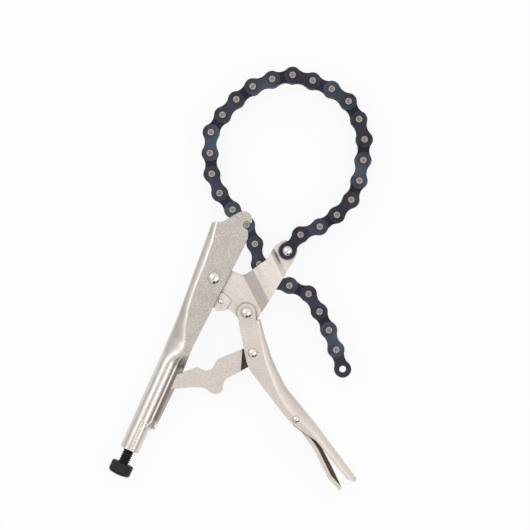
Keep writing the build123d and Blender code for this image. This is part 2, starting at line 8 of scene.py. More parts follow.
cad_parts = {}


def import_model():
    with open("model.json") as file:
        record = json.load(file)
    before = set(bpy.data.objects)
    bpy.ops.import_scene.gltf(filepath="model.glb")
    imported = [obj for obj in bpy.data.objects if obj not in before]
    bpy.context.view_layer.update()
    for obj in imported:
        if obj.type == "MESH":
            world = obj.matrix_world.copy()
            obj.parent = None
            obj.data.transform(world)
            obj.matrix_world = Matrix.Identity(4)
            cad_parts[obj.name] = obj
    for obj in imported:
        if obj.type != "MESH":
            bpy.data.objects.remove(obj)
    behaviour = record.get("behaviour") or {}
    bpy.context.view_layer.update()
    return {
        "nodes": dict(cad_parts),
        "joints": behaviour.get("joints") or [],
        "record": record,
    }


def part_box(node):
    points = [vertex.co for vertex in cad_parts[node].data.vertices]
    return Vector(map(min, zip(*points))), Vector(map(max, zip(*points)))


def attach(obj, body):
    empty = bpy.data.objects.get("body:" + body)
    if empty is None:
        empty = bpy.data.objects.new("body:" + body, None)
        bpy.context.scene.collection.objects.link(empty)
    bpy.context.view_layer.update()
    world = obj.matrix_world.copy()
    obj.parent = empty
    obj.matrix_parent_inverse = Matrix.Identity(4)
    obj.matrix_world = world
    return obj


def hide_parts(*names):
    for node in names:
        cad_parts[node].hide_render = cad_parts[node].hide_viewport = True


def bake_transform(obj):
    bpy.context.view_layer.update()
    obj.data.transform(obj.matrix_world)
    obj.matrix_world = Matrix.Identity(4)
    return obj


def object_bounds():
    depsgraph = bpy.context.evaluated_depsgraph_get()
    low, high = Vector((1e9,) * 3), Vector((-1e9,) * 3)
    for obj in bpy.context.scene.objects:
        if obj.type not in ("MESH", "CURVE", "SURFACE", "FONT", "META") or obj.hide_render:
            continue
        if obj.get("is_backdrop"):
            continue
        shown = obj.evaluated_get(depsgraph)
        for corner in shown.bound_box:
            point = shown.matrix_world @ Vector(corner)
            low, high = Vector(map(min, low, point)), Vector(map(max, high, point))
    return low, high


# Chain locking pliers lying flat on a pale floor, seen from straight above.
# The frame is in metres. Sizes below are in millimetres and are turned into metres where used.

MM = 0.001

# Dark gaps in the lights overhead, as (way, size), that show as small spots in polished domes
DARK_GAPS = [((0.1, -0.85, 0.62), 0.36), ((0.75, -0.75, 0.5), 0.34)]

# The tent's dimmer side, and how bright it is as a share of the rest
DIM_WAY = (-0.95, -0.3, 0.0)
DIM_SHARE = 0.66

# Floor, in metres
FLOOR_REACH = 3.0
FLOOR_GAP = 0.0002
FLOOR_WHITE = 0.9           # how much of what is seen of the floor is plain white, the rest is lit

# Camera
VIEW_WIDTH = 405.7          # what the picture's width covers at the tool's middle plane
VIEW_CENTRE = (18.35, 10.32)
VIEW_HEIGHT = 2000.0
SENSOR = 36.0

# Outlines below are about the jaw pivot, with Z measured from the tool's middle plane.

# The adjusting screw's axis, from the handle's mouth
SCREW_MOUTH = (-64.7, -131.3)
SCREW_ANGLE = 65.7

# Fixed handle. A distance along the screw's axis comes first, then one across it.
SHEET = 2.1
CHANNEL_HALF = 9.55
CHANNEL_REACH = 26.0        # more than the handle's width, cut off at its outline
BACK_LINE = [(-5, -7.4), (24, -7.4), (108, -8.2), (120, -9.0), (184, -13.85), (215, -16.2)]
BOUNDARY_LINE = [
    (0, 7.0), (84, 7.2), (92, 6.0), (104, 1.0), (118, -2.8), (133, -4.6), (150, -5.1), (171, -6.9),
    (186, -9.9), (215, -14.0),
]
TUBE_RADIUS = 7.55
MOUTH_RADIUS = 4.35
CREASE_AT = 4.2
CREASE_FLOOR = 4.9
FLANGE = [(5.9, 5.7), (6.8, 5.5), (8.0, 4.7), (9.6, 3.6), (11.4, 2.8), (13.0, 2.6), (26.0, 2.6)]
SEAM = 0.05                 # half the collar's open seam, as an angle
FOLD_AT = 1.2
FOLD_DEPTH = 0.55
FOLD_WIDTH = 0.45
FLARE = (72.0, 87.0)        # where the flanges open out into the channel
COLLAR = (19.5, 27.0)       # where the flanges close to a round collar
FIXED_POINTS = [
    (-3.1, 42.4), (7.0, 43.0), (19.6, 50.3), (25.0, 51.0), (28.7, 48.2), (29.3, 43.0), (26.2, 36.6),
    (26.3, 30.5), (3.0, -15.0), (-16.5, -53.5), (-24.8, -74.0),
]
FIXED_RADII = [0, 8, 8, 5, 5, 0.8, 3, 8, 60, 60, 60]
FIXED_FOOT = [(24.0, 11.5), (21.5, 11.2), (18.5, 9.5), (-0.01, 9.5), (-0.01, -12.0), (110.0, -12.0)]
FIXED_FOOT_RADII = [2, 3, 1, 0, 0, 0]
FIXED_LENGTH = 212.0        # from the mouth to just past the head
FINE_LENGTH = 100.0         # sections lie closer together up to here
FINE_STEP = 1.2
COARSE_STEP = 2.5
FIXED_STEPS = (30, 16)      # points round the back, and along the wall
WALL_POINTS = 4
# How steep a handle's back is, in degrees, from the flat wall's edge round to the back
SHOULDER_SLOPES = [(0.0, 4), (0.2, 22), (0.5, 32), (0.86, 40), (0.93, 50), (1.0, 80)]
HOOK_RADIUS = 2.74
HOOK_ANGLE = -40.0
HOOK_REACH = 16.0           # the slot's cutter ends outside the handle
CUT_HEIGHT = 12.0           # half the height of what cuts a handle's outline
HOOKED_PIN = 22

# Moving handle. Distances run down its back from the shoulder.
MOVING_BACK = [
    (31.1, -15.0), (35.6, -31.9), (38.9, -44.5), (45.0, -63.0), (55.0, -83.5), (79.0, -112.6),
    (108.6, -152.6), (112.0, -157.2),
]
MOVING_BENDS = [0, 20, 20, 40, 40, 60, 0, 0]
SHOULDER = 17.5             # how far down the back line the shoulder lies
MOVING_ROUND = [
    (-20, 0.4), (-0.6, 0.4), (0.6, 2.8), (13, 4.2), (32, 6.0), (45, 7.2), (58, 8.8), (70, 10.5),
    (82, 9.0), (96, 6.4), (150, 4.6),
]
MOVING_HALF = [(-20, 8.45), (1, 8.45), (7, 8.8), (14, 9.4), (20, 9.55), (150, 9.55)]
EAR_CENTRE = (24.9, -26.4)
EAR_RADIUS = 7.1
MOVING_POINTS = [
    (32.3, -31.9), (37.4, -31.9), (40.9, -44.5), (47.0, -62.0), (57.0, -82.5), (81.0, -111.6),
    (110.6, -151.6), (106.9, -155.9), (101.6, -153.2), (78.0, -124.0), (58.5, -110.8),
    (25.8, -68.0), (20.3, -41.0),
]
MOVING_RADII = [0.3, 0.3, 20, 40, 40, 60, 1.5, 1.5, 6, 20, 60, 25, 40]
MOVING_STEP = 1.5
MOVING_STEPS = (22, 12)     # points round the back, and along the wall

# Jaw plates: height along a line square to the creases
CREASE_ACROSS = 27.1
CREASE_FOOT = 20.54
JAW_SHEET = 2.6
JAW_HEIGHTS = [
    (-60.0, 6.2), (0.0, 6.2), (9.5, 12.75), (14.0, 12.75), (26.4, 11.0), (30.6, 7.2), (60.0, 7.2),
]
JAW_BENDS = [0, 0.3, 3.4, 14.0, 2.9, 0.5, 0]
JAW_POINTS = [
    (-8.2, 8.2), (14.0, 5.6), (22.8, 1.6), (41.0, 14.6), (46.6, 24.6), (54.4, 30.0),
    (65.0, 22.6), (61.4, 13.9), (40.3, -20.7), (31.6, -33.6), (19.6, -32.6), (16.6, -27.8),
    (11.2, -24.0), (2.4, -23.8), (-1.0, -18.2), (-3.0, -11.0), (-8.2, -8.2),
]
JAW_RADII = [7, 10, 7, 8, 5, 6, 6, 8, 30, 5, 5, 3, 4, 3, 2, 4, 6]
JAW_REACH = 90              # half the bent sheet's width before its outline is cut
JAW_CUT_TOP = 20

TONGUE_STEP = ((22.4, -58.2), (20.9, -70.6))    # right of this line the toggle link is thinner
LEVER_RIM = 4.65            # the release lever's turned-out rim stands above this height

ARC_POINTS = 7

# Chain
LINK_COUNT = 30
LOBE_RADIUS = 6.5
WAIST_HALF = 4.35
LOBE_POINTS = 28
WAIST_POINTS = 10
PLATE_THICKNESS = 2.0
PLATE_EDGE = 0.28           # rounding of a plate's punched edge
INNER_PLATE_LOW = 3.175
OUTER_PLATE_LOW = 5.3
ANCHOR_PLATE_LOW = 7.475
PIN_RADIUS = 2.54
PIN_HALF_LENGTH = 9.8
DISH_RADIUS = 1.45          # hollow in a pin's end
BUSH_RADIUS = 3.6
END_HOLE_RADIUS = 2.64
ANCHOR_HOLE_RADIUS = 2.8

# Adjusting screw, measured along its axis from the knob's end
KNOB_RADIUS = 8.7
KNOB_LENGTH = 8.1
KNOB_DOME = 1.8
KNOB_ROUNDING = 1.1
KNOB_CORNER = 2.4           # rounding between the knob's end and its side
KNURL_COUNT = 46
KNURL_DEPTH = 0.16
KNURL_SLANT = 5.0           # how far along the axis a knurl line goes in one knurl's width
SCREW_RADIUS = 4.2
THREAD_PITCH = 1.8
THREAD_DEPTH = 0.85
THREAD_LENGTH = 30.0

# Spring
SPRING_OUTER = 2.2
SPRING_WIRE = 0.9
SPRING_COIL_FROM = 20.0     # from the bracket's rivet: a long hook leads to the coil
SPRING_COIL_END = 5.0
SPRING_SHIFT = 2.6          # how far it stands off to the left of the line between its ends
SPRING_EYE = 2.1

# Rivets: head radius and head height
RIVET_HEADS = {
    "jaw_pivot_rivet": (4.5, 2.0),
    "handle_pivot_rivet": (4.05, 1.9),
    "spring_rivet": (1.95, 0.9),
    "toggle_rivet": (3.55, 1.7),
    "release_lever_rivet": (2.8, 1.4),
    "chain_anchor_rivet": (3.6, 1.8),
}
DOME_STEPS = 10
ANCHOR_PIN_RADIUS = 1.5
ANCHOR_PIN_HALF = 9.56      # just past the fixed handle's wall
ROUND = 48

SMOOTH_ANGLE = 0.6
CORNER_SHADE_REACH = 3.6           # how far from a corner its painted shade reaches

# Where the flanges get painted shade. X is along the screw and Y to its left, each with the places
# where the painted shade starts and where it is full.
FLANGE_SHADE_EDGES = [("X", 24.0, 30.0), ("X", 86.0, 74.0), ("Y", -6.4, -7.6)]
FLANGE_SHADE = (0.4, 0.37, 0.35)   # what the painted shade leaves of the plating's colour


# Meshes

def mesh_of(name, points, faces):
    mesh = bpy.data.meshes.new(name)
    mesh.from_pydata([Vector(p) * MM for p in points], [], faces)
    mesh.update()
    return mesh


def lathe(name, profile, count=ROUND):
    """A solid of revolution about Z from (radius, height) pairs that start and end on the axis."""
    points, rows = [], []
    for radius, height in profile:
        if radius == 0:
            rows.append([len(points)])
            points.append((0, 0, height))
        else:
            rows.append(list(range(len(points), len(points) + count)))
            for i in range(count):
                turn = 2 * pi * i / count
                points.append((radius * cos(turn), radius * sin(turn), height))
    return mesh_of(name, points, skin(rows))


def skin(rows):
    """Faces between closed rows of points. A row of one point is a tip."""
    faces = []
    for low, high in zip(rows, rows[1:]):
        count = max(len(low), len(high))
        for i in range(count):
            j = (i + 1) % count
            if len(low) == 1:
                faces.append((low[0], high[j], high[i]))
            elif len(high) == 1:
                faces.append((low[i], low[j], high[0]))
            else:
                faces.append((low[i], low[j], high[j], high[i]))
    return faces


def plate(name, loops, low, high, edge):
    """A flat sheet with rounded edges, from an outer outline and the outlines of its holes."""
    curve = bpy.data.curves.new(name, "CURVE")
    curve.dimensions = "2D"
    curve.fill_mode = "BOTH"
    curve.extrude = ((high - low) / 2 - edge) * MM
    curve.bevel_depth = edge * MM
    curve.bevel_resolution = 2
    curve.offset = -edge * MM
    for loop in loops:
        spline = curve.splines.new("POLY")
        spline.points.add(len(loop) - 1)
        for point, (x, y) in zip(spline.points, loop):
            point.co = (x * MM, y * MM, 0, 1)
        spline.use_cyclic_u = True
    holder = bpy.data.objects.new(name, curve)
    bpy.context.scene.collection.objects.link(holder)
    bpy.context.view_layer.update()
    solid = holder.evaluated_get(bpy.context.evaluated_depsgraph_get())
    mesh = bpy.data.meshes.new_from_object(solid)
    mesh.transform(Matrix.Translation((0, 0, (low + high) / 2 * MM)))
    bpy.data.objects.remove(holder)
    bpy.data.curves.remove(curve)
    return mesh


def rounded(points, radii, close=True):
    """A run of straight lines with a curve at each corner that has a radius."""
    loop = []
    for i, corner in enumerate(points):
        here = Vector(corner)
        ends = not close and i in (0, len(points) - 1)
        if ends or radii[i] == 0:
            loop.append(tuple(here))
            continue
        back = Vector(points[i - 1]) - here
        ahead = Vector(points[(i + 1) % len(points)]) - here
        reach = radii[i] / tan(back.angle(ahead) / 2)
        reach = min(reach, 0.49 * back.length, 0.49 * ahead.length)
        start = here + back.normalized() * reach
        end = here + ahead.normalized() * reach
        for j in range(ARC_POINTS + 1):
            t = j / ARC_POINTS
            loop.append(tuple(start * (1 - t) ** 2 + here * 2 * t * (1 - t) + end * t * t))
    return loop


def prism(name, loop, low, high):
    """A flat outline given thickness between two heights."""
    count = len(loop)
    points = [(x, y, low) for x, y in loop] + [(x, y, high) for x, y in loop]
    faces = [list(range(count))[::-1], list(range(count, 2 * count))]
    for i in range(count):
        j = (i + 1) % count
        faces.append([i, j, count + j, count + i])
    return mesh_of(name, points, faces)


def loft(name, sections):
    """A solid through closed sections that all have the same number of points."""
    count = len(sections[0])
    points = [p for section in sections for p in section]
    faces = [list(range(count)), list(range(len(points) - count, len(points)))[::-1]]
    for row in range(len(sections) - 1):
        for i in range(count):
            j = (i + 1) % count
            low, high = row * count, (row + 1) * count
            faces.append([low + j, low + i, high + i, high + j])
    return mesh_of(name, points, faces)


def combined(base, tool, how):
    """The mesh that is left when one solid is cut by another, or kept only inside it."""
    holders = []
    for mesh in (base, tool):
        holder = bpy.data.objects.new(mesh.name, facing_out(mesh))
        bpy.context.scene.collection.objects.link(holder)
        holders.append(holder)
    change = holders[0].modifiers.new("cut", "BOOLEAN")
    change.operation = how
    change.object = holders[1]
    change.solver = "EXACT"
    bpy.context.view_layer.update()
    result = bpy.data.meshes.new_from_object(
        holders[0].evaluated_get(bpy.context.evaluated_depsgraph_get())
    )
    for holder in holders:
        bpy.data.objects.remove(holder)
    return result


def facing_out(mesh):
    form = bmesh.new()
    form.from_mesh(mesh)
    bmesh.ops.recalc_face_normals(form, faces=form.faces)
    form.to_mesh(mesh)
    form.free()
    return mesh


def between(table, at):
    """A value read off a table of (place, value) pairs, in straight lines from pair to pair."""
    if at <= table[0][0]:
        return table[0][1]
    for (low, first), (high, second) in zip(table, table[1:]):
        if at <= high:
            return first + (second - first) * (at - low) / (high - low)
    return table[-1][1]


def eased(at, low, high):
    share = min(1.0, max(0.0, (at - low) / (high - low)))
    return share * share * (3 - 2 * share)


def mixed(first, second, share):
    return [(a + (c - a) * share, b + (d - b) * share) for (a, b), (c, d) in zip(first, second)]


def piece(name, parts, place=Matrix.Identity(4)):
    """One object from several (mesh, material) pairs, set in its place.

    A function in a material's stead gets each face's centre and gives its material."""
    materials, points, faces, slots = [], [], [], []
    for mesh, finish in parts:
        base = len(points)
        points += [place @ v.co for v in mesh.vertices]
        for face in mesh.polygons:
            material = finish(face.center / MM) if callable(finish) else finish
            if material not in materials:
                materials.append(material)
            faces.append([base + i for i in face.vertices])
            slots.append(materials.index(material))
    whole = bpy.data.meshes.new(name)
    whole.from_pydata(points, [], faces)
    for material in materials:
        whole.materials.append(material)
    whole.polygons.foreach_set("material_index", slots)
    smooth(whole)
    thing = bpy.data.objects.new(name, whole)
    bpy.context.scene.collection.objects.link(thing)
    return thing


def smooth(mesh):
    mesh.polygons.foreach_set("use_smooth", [True] * len(mesh.polygons))
    mesh.set_sharp_from_angle(angle=SMOOTH_ANGLE)
    mesh.update()


def centre_of(name):
    """The middle of one of the frame's pieces, in metres."""
    low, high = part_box(name)
    return (low + high) / 2


def mirrored(mesh):
    """The same form below the tool's middle plane."""
    copy = mesh.copy()
    copy.transform(Matrix.Diagonal((1, 1, -1, 1)))
    copy.flip_normals()
    return copy


# Materials

def new_material(name):
    material = bpy.data.materials.new(name)
    material.use_nodes = True
    return material, material.node_tree.nodes, material.node_tree.links


def noise(nodes, links, scale, detail=4.0, rough=0.6):
    """Noise in the part's own space. Scale is in features per metre."""
    where = nodes.new("ShaderNodeTexCoord")
    texture = nodes.new("ShaderNodeTexNoise")
    texture.inputs["Scale"].default_value = scale
    texture.inputs["Detail"].default_value = detail
    texture.inputs["Roughness"].default_value = rough
    links.new(where.outputs["Object"], texture.inputs["Vector"])
    return texture.outputs["Fac"]


def ramp(nodes, links, value, stops):
    """A colour ramp from (position, colour) stops."""
    node = nodes.new("ShaderNodeValToRGB")
    while len(node.color_ramp.elements) < len(stops):
        node.color_ramp.elements.new(0.5)
    for element, (position, colour) in zip(node.color_ramp.elements, stops):
        element.position = position
        element.color = (*colour, 1)
    links.new(value, node.inputs["Fac"])
    return node.outputs["Color"]


def bump(nodes, links, value, strength, distance):
    node = nodes.new("ShaderNodeBump")
    node.inputs["Strength"].default_value = strength
    node.inputs["Distance"].default_value = distance * MM
    links.new(value, node.inputs["Height"])
    return node


def painted_corner_shade(nodes, links, colour):
    """Painted shade: a colour that goes dark brown where two surfaces meet in a narrow corner."""
    near = nodes.new("ShaderNodeAmbientOcclusion")
    near.samples = 8
    near.inputs["Distance"].default_value = CORNER_SHADE_REACH * MM
    shade = ramp(nodes, links, near.outputs["AO"], [(0.3, linear(60, 48, 40)), (0.86, (1, 1, 1))])
    return multiplied(nodes, links, colour, shade)


def maths(nodes, links, operation, *values):
    """A Math node whose inputs are other nodes' values or plain numbers."""
    node = nodes.new("ShaderNodeMath")
    node.operation = operation
    for socket, value in zip(node.inputs, values):
        if isinstance(value, float):
            socket.default_value = value
        else:
            links.new(value, socket)
    return node.outputs["Value"]


def multiplied(nodes, links, first, second):
    mix = nodes.new("ShaderNodeMix")
    mix.data_type = "RGBA"
    mix.blend_type = "MULTIPLY"
    mix.inputs["Factor"].default_value = 1.0
    links.new(first, mix.inputs["A"])
    links.new(second, mix.inputs["B"])
    return mix.outputs["Result"]


def linear(red, green, blue):
    """A colour as it shows on a screen, from 0 to 255, turned into the light's own scale."""
    return tuple((c / 255) ** 2.2 for c in (red, green, blue))


def painted_flange_shade(nodes, links, colour):
    """Painted shade: the plating's colour darkens on the pinched flanges, fading out under the flare."""
    where = nodes.new("ShaderNodeTexCoord")
    turned = nodes.new("ShaderNodeMapping")
    turned.vector_type = "TEXTURE"
    mouth = centre_of("jaw_pivot_rivet") + Vector((*SCREW_MOUTH, 0)) * MM
    turned.inputs["Location"].default_value = mouth
    turned.inputs["Rotation"].default_value = (0, 0, radians(SCREW_ANGLE))
    links.new(where.outputs["Object"], turned.inputs["Vector"])
    split = nodes.new("ShaderNodeSeparateXYZ")
    links.new(turned.outputs["Vector"], split.inputs["Vector"])
    share = 1.0
    for axis, low, high in FLANGE_SHADE_EDGES:
        edge = nodes.new("ShaderNodeMapRange")
        edge.interpolation_type = "SMOOTHSTEP"
        edge.inputs["From Min"].default_value = low * MM
        edge.inputs["From Max"].default_value = high * MM
        links.new(split.outputs[axis], edge.inputs["Value"])
        share = maths(nodes, links, "MULTIPLY", edge.outputs["Result"], share)
    tint = ramp(nodes, links, share, [(0.0, (1, 1, 1)), (1.0, FLANGE_SHADE)])
    return multiplied(nodes, links, colour, tint)


def plated_steel(name, dark, light, tilted_sheen, roughness=0.36, flange_shaded=False):
    """Satin nickel over pressed steel: flat faces mottled, sloping and rounded ones a plain lighter colour
    as a painted sheen, painted shade in narrow corners, edges softened.
    """
    material, nodes, links = new_material(name)
    shader = nodes["Principled BSDF"]
    shader.inputs["Metallic"].default_value = 1.0
    grain = noise(nodes, links, 900, 5.0, 0.75)
    mottled = ramp(nodes, links, grain, [(0.36, dark), (0.64, light)])
    facing = nodes.new("ShaderNodeNewGeometry")
    upright = nodes.new("ShaderNodeSeparateXYZ")
    links.new(facing.outputs["Normal"], upright.inputs["Vector"])
    level = maths(nodes, links, "ABSOLUTE", upright.outputs["Z"])
    # Only faces that lie almost flat keep the mottled grain. The others take one plain colour, lighter than
    # the grain: a painted sheen on sloping and rounded faces.
    flat = ramp(nodes, links, level, [(0.96, (0, 0, 0)), (0.998, (1, 1, 1))])
    colour = nodes.new("ShaderNodeMix")
    colour.data_type = "RGBA"
    colour.inputs["A"].default_value = (*tilted_sheen, 1)
    links.new(flat, colour.inputs["Factor"])
    links.new(mottled, colour.inputs["B"])
    # Painted shade: the colour goes dark brown in narrow corners.
    finish = painted_corner_shade(nodes, links, colour.outputs["Result"])
    # Painted shade on the pinched flanges, where asked for.
    if flange_shaded:
        finish = painted_flange_shade(nodes, links, finish)
    links.new(finish, shader.inputs["Base Color"])
    worn = noise(nodes, links, 120, 3.0)
    gloss = ramp(nodes, links, worn, [(0.3, (roughness - 0.06,) * 3), (0.7, (roughness + 0.08,) * 3)])
    links.new(gloss, shader.inputs["Roughness"])
    pitted = bump(nodes, links, grain, 0.06, 0.04)
    edge = nodes.new("ShaderNodeBevel")
    edge.samples = 4
    edge.inputs["Radius"].default_value = 0.3 * MM
    links.new(edge.outputs["Normal"], pitted.inputs["Normal"])
    links.new(pitted.outputs["Normal"], shader.inputs["Normal"])
    return material


def polished_steel():
    material, nodes, links = new_material("rivet_steel")
    shader = nodes["Principled BSDF"]
    shader.inputs["Metallic"].default_value = 1.0
    shader.inputs["Roughness"].default_value = 0.1
    spots = noise(nodes, links, 700, 4.0)
    colour = ramp(nodes, links, spots, [(0.3, linear(205, 200, 196)), (0.6, linear(238, 234, 230))])
    links.new(colour, shader.inputs["Base Color"])
    links.new(bump(nodes, links, spots, 0.1, 0.05).outputs["Normal"], shader.inputs["Normal"])
    return material


def blued_steel(name, tints):
    """Heat-blued plate. The tint drifts along the chain and turns a little from plate to plate."""
    material, nodes, links = new_material(name)
    shader = nodes["Principled BSDF"]
    shader.inputs["Metallic"].default_value = 0.75
    shader.inputs["Roughness"].default_value = 0.4
    drift = noise(nodes, links, 38, 2.0)
    colour = ramp(nodes, links, drift, list(zip((0.36, 0.5, 0.64), tints)))
    links.new(colour, shader.inputs["Base Color"])
    grain = noise(nodes, links, 1500, 3.0)
    links.new(bump(nodes, links, grain, 0.1, 0.04).outputs["Normal"], shader.inputs["Normal"])
    return material


def plain_metal(name, low, high, roughness, metallic=1.0, scale=800):
    """Bare or blackened metal with a fine grain between two colours."""
    material, nodes, links = new_material(name)
    shader = nodes["Principled BSDF"]
    shader.inputs["Metallic"].default_value = metallic
    shader.inputs["Roughness"].default_value = roughness
    grain = noise(nodes, links, scale, 4.0)
    links.new(ramp(nodes, links, grain, [(0.35, low), (0.65, high)]), shader.inputs["Base Color"])
    links.new(bump(nodes, links, grain, 0.15, 0.05).outputs["Normal"], shader.inputs["Normal"])
    return material


def make_materials():
    return {
        # The third colour of each plating is the plain colour of sloping and rounded faces, lighter than
        # the grain: a painted sheen.
        "cool": plated_steel(
            "plated_cool", linear(168, 161, 153), linear(218, 212, 204), linear(224, 218, 212)
        ),
        # This plating also has painted shade on the pinched flanges.
        "flange_shaded": plated_steel(
            "plated_flange_shaded", linear(168, 161, 153), linear(218, 212, 204), linear(224, 218, 212),
            flange_shaded=True,
        ),
        "warm": plated_steel(
            "plated_warm", linear(194, 184, 175), linear(226, 216, 207), linear(232, 223, 214), 0.42
        ),
        "bright": plated_steel(
            "plated_bright", linear(212, 202, 193), linear(240, 230, 221), linear(238, 229, 221), 0.34
        ),
        "rivet": polished_steel(),
        "slate": blued_steel("chain_slate", [linear(58, 60, 71), linear(67, 72, 84), linear(74, 86, 97)]),
        "violet": blued_steel("chain_violet", [linear(53, 50, 60), linear(61, 57, 69), linear(64, 66, 79)]),
        "inner": blued_steel("chain_inner", [linear(38, 38, 47), linear(45, 46, 56), linear(49, 56, 67)]),
        "bush": plain_metal("chain_bush", linear(44, 44, 52), linear(70, 70, 78), 0.35),
        "pin": plain_metal("pin_end", linear(158, 151, 144), linear(186, 179, 172), 0.42),
        "dish": plain_metal("pin_dish", linear(122, 115, 108), linear(150, 142, 134), 0.55),
        # Dark brown painted shade for the toggle link's tongue inside the moving handle.
        "tongue_shade": plain_metal("tongue_shade", linear(58, 47, 40), linear(96, 80, 68), 0.6, 0.6),
        # Painted shade for the release lever's inside, all but its rim.
        "hollow": plain_metal("lever_hollow_shade", linear(74, 64, 55), linear(98, 85, 74), 0.5, 0.9),
        "oxide": plain_metal("black_oxide", linear(26, 27, 30), linear(48, 49, 53), 0.55, 0.4, 1200),
        "spring": plain_metal("spring_wire", linear(120, 116, 112), linear(160, 156, 150), 0.32),
    }


# Chain

def circle(x, radius, count=ROUND):
    return [(x + radius * cos(2 * pi * i / count), radius * sin(2 * pi * i / count)) for i in range(count)]


def link_outline(pitch):
    """Two round ends joined by hollow waists whose arcs run smoothly into them."""
    rise = LOBE_RADIUS ** 2 - WAIST_HALF ** 2
    arc = ((pitch / 2) ** 2 - rise) / (2 * (LOBE_RADIUS - WAIST_HALF))
    centre = arc + WAIST_HALF
    lean = atan2(centre, pitch / 2)
    points = []
    for middle, start in ((0, lean), (pitch, pi + lean)):
        sweep = 2 * pi - 2 * lean
        for i in range(LOBE_POINTS + 1):
            turn = start + sweep * i / LOBE_POINTS
            points.append((middle + LOBE_RADIUS * cos(turn), LOBE_RADIUS * sin(turn)))
        side = -1 if middle == 0 else 1
        reach = pi / 2 - lean
        for i in range(1, WAIST_POINTS):
            turn = reach - 2 * reach * i / WAIST_POINTS
            points.append((
                pitch / 2 + side * arc * sin(turn),
                side * (centre - arc * cos(turn)),
            ))
    return points


def pin_parts(x, materials):
    """A pin with a rounded rim and a dished centre at each end, where it was riveted."""
    top = PIN_HALF_LENGTH
    profile = [
        (0, top - 0.2), (DISH_RADIUS, top - 0.12), (DISH_RADIUS + 0.15, top), (PIN_RADIUS - 0.25, top),
        (PIN_RADIUS, top - 0.25),
    ]
    profile += [(radius, -height) for radius, height in profile[::-1]]
    mesh = lathe("pin", profile, 32)
    mesh.transform(Matrix.Translation((x * MM, 0, 0)))

    def finish(centre):
        if abs(centre.z) < top - 0.6:
            return materials["bush"]
        near = (centre.x - x) ** 2 + centre.y ** 2 < DISH_RADIUS ** 2
        return materials["dish"] if near else materials["pin"]

    return [(mesh, finish)]


def link_parts(kind, pitch, materials, tint):
    """The plates, pins and bushes of an outer, inner, open-ended or anchor link, along X."""
    outline = link_outline(pitch)
    low = {"outer": OUTER_PLATE_LOW, "anchor": ANCHOR_PLATE_LOW}.get(kind, INNER_PLATE_LOW)
    loops = [outline]
    if kind == "end":
        loops.append(circle(pitch, END_HOLE_RADIUS))
    if kind == "anchor":
        loops.append(circle(0, ANCHOR_HOLE_RADIUS))
        loops.append(circle(pitch, END_HOLE_RADIUS))
    sheet = plate("plate", loops, low, low + PLATE_THICKNESS, PLATE_EDGE)
    parts = [(sheet, tint), (mirrored(sheet), tint)]
    if kind == "outer":
        parts += pin_parts(0, materials) + pin_parts(pitch, materials)
    if kind in ("inner", "end"):
        bore, top = END_HOLE_RADIUS, INNER_PLATE_LOW
        wall = [(bore, -top), (BUSH_RADIUS, -top), (BUSH_RADIUS, top), (bore, top), (bore, -top)]
        for x in (0, pitch):
            mesh = lathe("bush", wall, 32)
            mesh.transform(Matrix.Translation((x * MM, 0, 0)))
            parts.append((mesh, materials["bush"]))
    return parts


def chain_pins(frame):
    """Each link is the same on both sides of its middle, so its box gives the next pin."""
    first = next(j for j in frame["joints"] if j["name"] == "chain_hinge_00")
    pins = [Vector(first["pos_m"])]
    for name in chain_names():
        low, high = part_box(name)
        pins.append(low + high - pins[-1])
    return pins


def chain_names():
    return ["chain_anchor_link"] + [f"chain_link_{i:02d}" for i in range(1, LINK_COUNT + 1)]


def make_chain(frame, materials):
    pins = chain_pins(frame)
    pitch = (pins[1] - pins[0]).length / MM
    for index, name in enumerate(chain_names()):
        kind = "outer" if index % 2 else "inner"
        if index == 0:
            kind = "anchor"
        if index == LINK_COUNT:
            kind = "end"
        tint = materials["inner"] if kind == "inner" else materials["violet"]
        if kind == "outer" and index % 4 == 1:
            tint = materials["slate"]
        along = pins[index + 1] - pins[index]
        place = Matrix.Translation(pins[index]) @ Matrix.Rotation(atan2(along.y, along.x), 4, "Z")
        link = piece(name + "_dressed", link_parts(kind, pitch, materials, tint), place)
        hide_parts(name)
        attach(link, name)


# Rivets

def dome_profile(radius, height, low):
    """A head from its edge to its crown: a short straight rim, then a cap of a sphere."""
    rim = 0.25 * height
    cap = height - rim
    ball = (radius * radius + cap * cap) / (2 * cap)
    profile = [(radius, low + rim)]
    for i in range(1, DOME_STEPS + 1):
        reach = radius * (1 - i / DOME_STEPS)
        profile.append((reach, low + rim + (ball * ball - reach * reach) ** 0.5 - (ball - cap)))
    return profile


def make_rivets(frame, materials):
    for name, (radius, height) in RIVET_HEADS.items():
        centre = centre_of(name)
        seat = (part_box(name)[1].z - centre.z) / MM - height
        head = [(0, seat), (radius, seat)] + dome_profile(radius, height, seat)
        upper = lathe("head", head)
        shank = lathe("shank", [(0, -seat), (radius * 0.7, -seat), (radius * 0.7, seat), (0, seat)], 32)
        parts = [(upper, materials["rivet"]), (mirrored(upper), materials["rivet"])]
        parts.append((shank, materials["rivet"]))
        rivet = piece(name + "_dressed", parts, Matrix.Translation(centre))
        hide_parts(name)
        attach(rivet, body_of_node(frame, name))


def body_of_node(frame, name):
    return next(b for b, nodes in frame["record"]["behaviour"]["bodies"].items() if name in nodes)


def make_anchor_pin(frame, materials):
    """The pin across the fixed handle that holds the spring, ground flush with the walls."""
    profile = [
        (0, -ANCHOR_PIN_HALF), (ANCHOR_PIN_RADIUS, -ANCHOR_PIN_HALF),
        (ANCHOR_PIN_RADIUS, ANCHOR_PIN_HALF), (0, ANCHOR_PIN_HALF),
    ]
    parts = [(lathe("pin", profile, 32), materials["cool"])]
    place = Matrix.Translation(centre_of("spring_anchor_pin"))
    dressed(frame, "spring_anchor_pin", parts, place)


# Adjusting screw

def triangle_wave(x):
    x = x % 1.0
    return 2 * x if x < 0.5 else 2 - 2 * x


